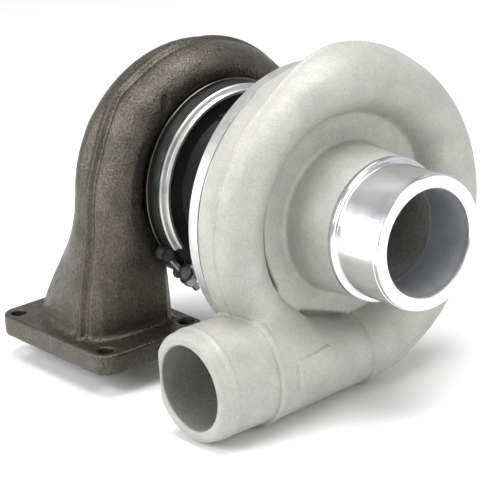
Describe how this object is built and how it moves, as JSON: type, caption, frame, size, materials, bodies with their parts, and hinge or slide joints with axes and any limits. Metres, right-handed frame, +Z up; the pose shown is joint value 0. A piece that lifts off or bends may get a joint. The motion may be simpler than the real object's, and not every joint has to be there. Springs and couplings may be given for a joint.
{
  "type": "turbocharger",
  "caption": "Diesel turbocharger with a divided-inlet turbine housing, a V-banded bearing housing and a compressor cover whose round outlet points across the shaft.",
  "frame": {"origin": "centre of the foot's four bolt holes, on the foot's underside", "axes": "+X along the shaft towards the compressor inlet, +Z up from the foot, and the shaft lies on the +Y side of the foot"},
  "size_m": [0.3605, 0.2858, 0.27],
  "materials": {
    "turbine_iron": "rough brown-grey sand casting",
    "cover_aluminium": "fine sand casting with a turned inlet sleeve",
    "dark_iron": "blackened sand casting",
    "band_stainless": "satin",
    "steel": "machined",
    "wheel_aluminium": "machined",
    "wheel_alloy": "cast nickel alloy with a ground shaft",
    "bronze": "machined",
    "seal_rubber": "smooth"
  },
  "bodies": {
    "housings": {"turbine_housing": "turbine_iron", "compressor_cover": "cover_aluminium", "bearing_housing": "dark_iron", "rear_band_strap": "band_stainless", "rear_band_retainers": "band_stainless", "rear_band_t_bolt": "steel", "rear_band_trunnion": "steel", "rear_band_nut": "steel", "front_band_strap": "band_stainless", "front_band_retainers": "band_stainless", "front_band_t_bolt": "steel", "front_band_trunnion": "steel", "front_band_nut": "steel", "bearing_snap_rings": "steel", "thrust_bearing": "bronze", "thrust_bearing_screws": "steel", "oil_baffle": "steel", "oil_seal_plate": "steel", "seal_plate_snap_ring": "steel", "seal_plate_o_ring": "seal_rubber", "turbine_piston_ring": "steel", "compressor_piston_ring": "steel", "heat_shield": "steel", "diffuser_plate": "wheel_aluminium", "diffuser_screws": "steel", "cover_o_ring": "seal_rubber"},
    "rotor": {"turbine_shaft_wheel": "wheel_alloy", "compressor_wheel": "wheel_aluminium", "wheel_locknut": "steel", "thrust_collar": "steel", "oil_slinger": "steel"},
    "turbine_bearing": {"turbine_journal_bearing": "bronze"},
    "compressor_bearing": {"compressor_journal_bearing": "bronze"}
  },
  "joints": [
    {"name": "rotor_spin", "type": "hinge", "parent": "housings", "child": "rotor", "pos_m": [0, 0.096, 0.122], "axis": [1, 0, 0], "continuous": true},
    {"name": "turbine_bearing_float", "type": "hinge", "parent": "housings", "child": "turbine_bearing", "pos_m": [0, 0.096, 0.122], "axis": [1, 0, 0], "continuous": true},
    {"name": "compressor_bearing_float", "type": "hinge", "parent": "housings", "child": "compressor_bearing", "pos_m": [0, 0.096, 0.122], "axis": [1, 0, 0], "continuous": true}
  ]
}
